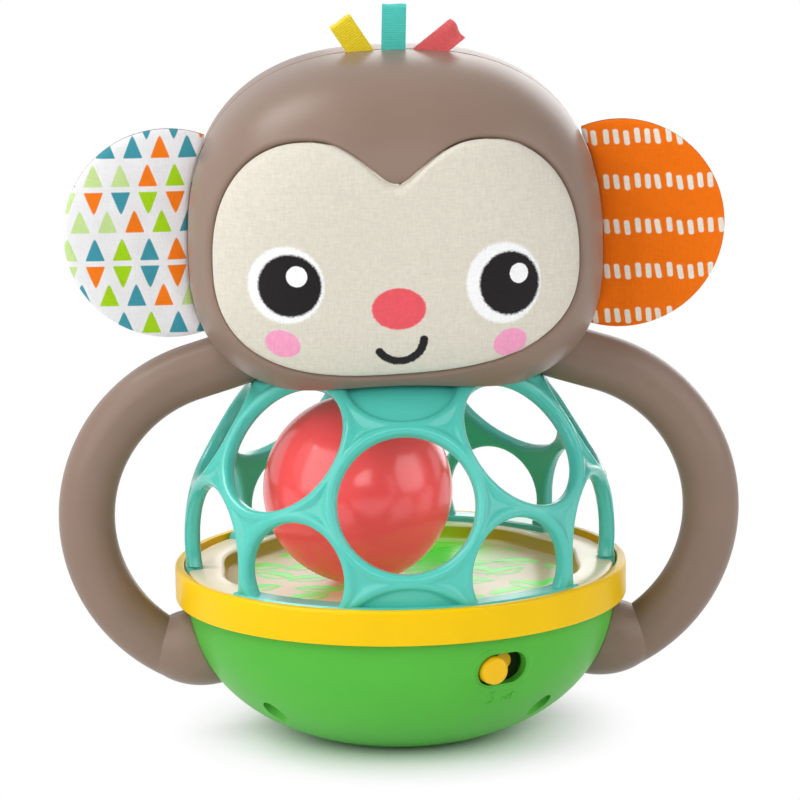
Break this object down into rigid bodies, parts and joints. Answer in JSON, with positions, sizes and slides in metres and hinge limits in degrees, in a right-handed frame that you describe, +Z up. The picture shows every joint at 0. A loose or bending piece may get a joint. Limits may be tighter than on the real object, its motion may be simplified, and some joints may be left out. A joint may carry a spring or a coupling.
{
  "type": "grasp and rattle toy",
  "caption": "Baby's grasp-and-rattle toy: a monkey head with soft ears on a lattice ball, a loose ball inside, a lit round base with a sound switch, and looped arms as handles.",
  "frame": {"origin": "on the floor, at the centre of the standing foot, under the lattice ball's centre", "axes": "+Z up through the lattice ball, the base and the head; -Y the way the face looks; +X to the right of a viewer who faces the toy"},
  "size_m": [0.161, 0.1068, 0.1731],
  "materials": {
    "brown_shell": "satin moulded plastic",
    "teal_lattice": "satin soft plastic",
    "yellow_trim": "satin-gloss moulded plastic",
    "green_base": "satin-gloss moulded plastic",
    "cream_deck": "translucent plastic, lit from below",
    "coral_ball": "gloss moulded plastic",
    "face_plate_plastic": "matt moulded plastic",
    "face_cloth": "short-pile knitted cloth with a printed face",
    "ear_white_cloth": "printed woven cotton, rows of triangles",
    "ear_orange_cloth": "printed woven cotton, rows of dashes",
    "ear_back_cloth": "brushed cloth",
    "crinkle_film": "thin crackling film",
    "ear_tab_tape": "woven cotton tape",
    "yellow_ribbon": "satin ribbon",
    "teal_ribbon": "satin ribbon",
    "coral_ribbon": "satin ribbon",
    "knob_plastic": "gloss moulded plastic",
    "battery_box_plastic": "matt moulded plastic",
    "dark_plastic": "matt moulded plastic",
    "board_laminate": "solder-masked laminate",
    "clear_led": "clear cast resin",
    "speaker_metal": "black painted steel",
    "sensor_brass": "drawn can",
    "cell_can": "printed steel can",
    "contact_steel": "nickel-plated spring strip",
    "screw_steel": "zinc-plated"
  },
  "bodies": {
    "toy": {"lattice_dome": "teal_lattice", "trim_ring": "yellow_trim", "base_bowl": "green_base", "light_deck": "cream_deck", "base_screw_1": "screw_steel", "base_screw_2": "screw_steel", "base_screw_3": "screw_steel", "base_screw_4": "screw_steel", "circuit_board": "board_laminate", "board_screw_1": "screw_steel", "board_screw_2": "screw_steel", "led_1": "clear_led", "led_2": "clear_led", "sound_chip": "dark_plastic", "motion_sensor": "sensor_brass", "speaker": "speaker_metal", "battery_box": "battery_box_plastic", "battery_cell_1": "cell_can", "battery_cell_2": "cell_can", "contact_bridge": "contact_steel", "contact_positive": "contact_steel", "contact_negative": "contact_steel", "switch_housing": "dark_plastic", "arm_left_front": "brown_shell", "arm_left_rear": "brown_shell", "arm_left_screw_1": "screw_steel", "arm_left_screw_2": "screw_steel", "arm_right_front": "brown_shell", "arm_right_rear": "brown_shell", "arm_right_screw_1": "screw_steel", "arm_right_screw_2": "screw_steel", "head_front_shell": "brown_shell", "head_rear_shell": "brown_shell", "head_screw_1": "screw_steel", "head_screw_2": "screw_steel", "head_screw_3": "screw_steel", "head_screw_4": "screw_steel", "neck_screw_1": "screw_steel", "neck_screw_2": "screw_steel", "face_plate": "face_plate_plastic", "face_fabric": "face_cloth", "face_screw_1": "screw_steel", "face_screw_2": "screw_steel", "ear_left_tab": "ear_tab_tape", "ear_right_tab": "ear_tab_tape", "ribbon_yellow": "yellow_ribbon", "ribbon_teal": "teal_ribbon", "ribbon_coral": "coral_ribbon"},
    "loose_ball": {"ball_upper_half": "coral_ball", "ball_lower_half": "coral_ball"},
    "sound_switch": {"switch_knob": "knob_plastic"},
    "battery_cover": {"battery_door": "green_base"},
    "cover_screw": {"battery_door_screw": "screw_steel"},
    "ear_left": {"ear_left_front_panel": "ear_white_cloth", "ear_left_crinkle_film": "crinkle_film", "ear_left_back_panel": "ear_back_cloth"},
    "ear_right": {"ear_right_front_panel": "ear_orange_cloth", "ear_right_crinkle_film": "crinkle_film", "ear_right_back_panel": "ear_back_cloth"}
  },
  "joints": [
    {"name": "ball_roll", "type": "hinge", "parent": "toy", "child": "loose_ball", "pos_m": [0, 0, 0.05905], "axis": [0, 0, 1], "continuous": true},
    {"name": "switch_slide", "type": "slide", "parent": "toy", "child": "sound_switch", "axis": [0.9003, 0.4352, 0], "range_m": [0, 0.0048]},
    {"name": "battery_cover_slide", "type": "slide", "parent": "toy", "child": "battery_cover", "axis": [0, 1, 0], "range_m": [0, 0.03]},
    {"name": "cover_screw_turn", "type": "hinge", "parent": "battery_cover", "child": "cover_screw", "pos_m": [0, 0.045, 0.02825], "axis": [0, 1, 0], "continuous": true},
    {"name": "ear_left_bend", "type": "hinge", "parent": "toy", "child": "ear_left", "pos_m": [-0.0493, 0, 0.1204], "axis": [0, 0, 1], "range_deg": [-30, 30], "stiffness_Nm_per_rad": 0.005},
    {"name": "ear_right_bend", "type": "hinge", "parent": "toy", "child": "ear_right", "pos_m": [0.0493, 0, 0.1204], "axis": [0, 0, 1], "range_deg": [-30, 30], "stiffness_Nm_per_rad": 0.005}
  ]
}
